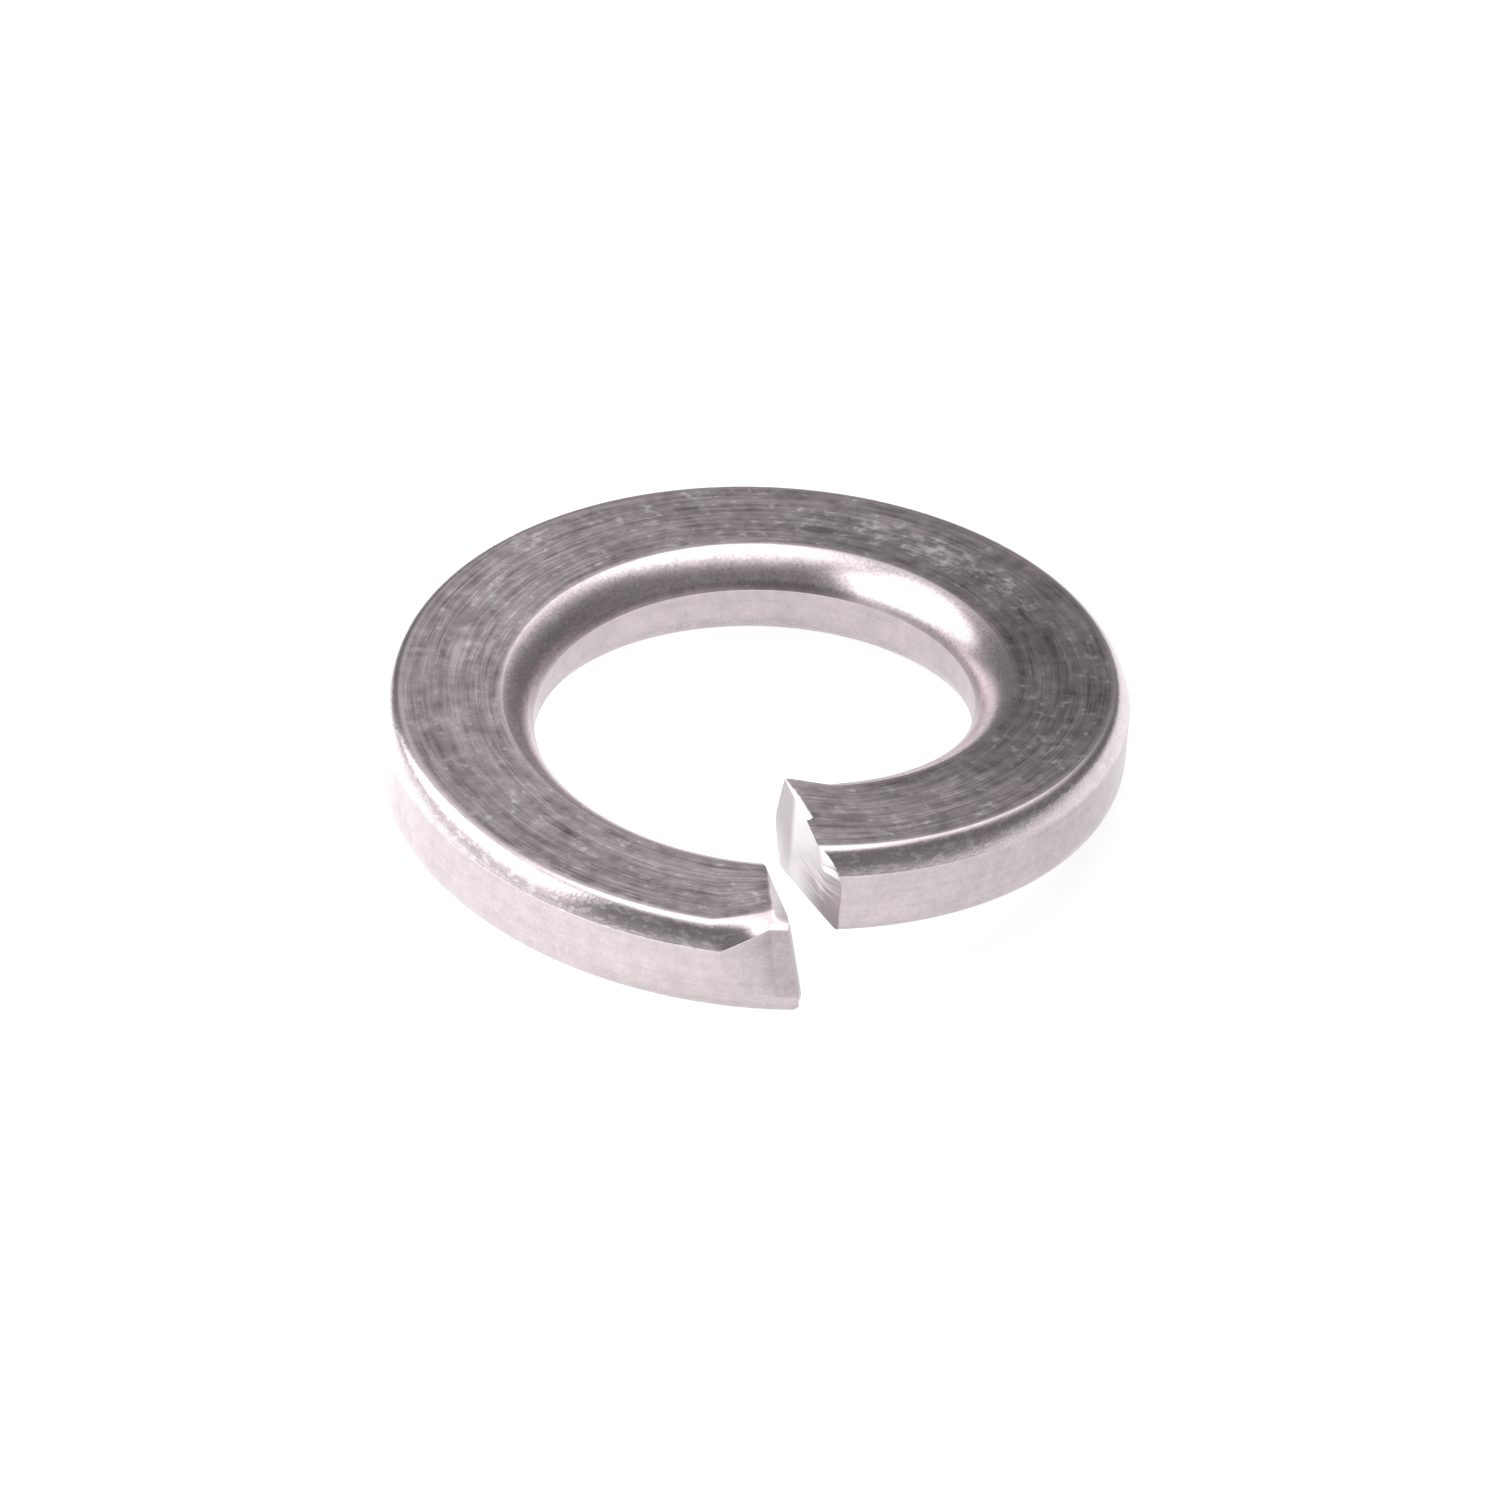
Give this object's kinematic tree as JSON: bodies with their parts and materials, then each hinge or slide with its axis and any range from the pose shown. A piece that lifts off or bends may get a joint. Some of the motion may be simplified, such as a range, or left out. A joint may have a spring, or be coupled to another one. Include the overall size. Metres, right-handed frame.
{
  "type": "spring lock washer",
  "caption": "Split steel spring lock washer: one left-hand turn of square section with rounded corners, whose slanted ends bite to keep a bolt from working loose",
  "frame": {"origin": "centre of the bounding box's base, on the axis of the bore, level with the lowest edge of the low end", "axes": "+Z along the axis of the bore, up from the low end to the high end; +X across the cut, from the low end's side to the high end's side; -Y towards the cut"},
  "size_m": [0.0144, 0.0144, 0.0038],
  "materials": {
    "steel": "bright tumbled, brushed flats"
  },
  "bodies": {
    "root": {"lock_washer": "steel"}
  },
  "joints": []
}
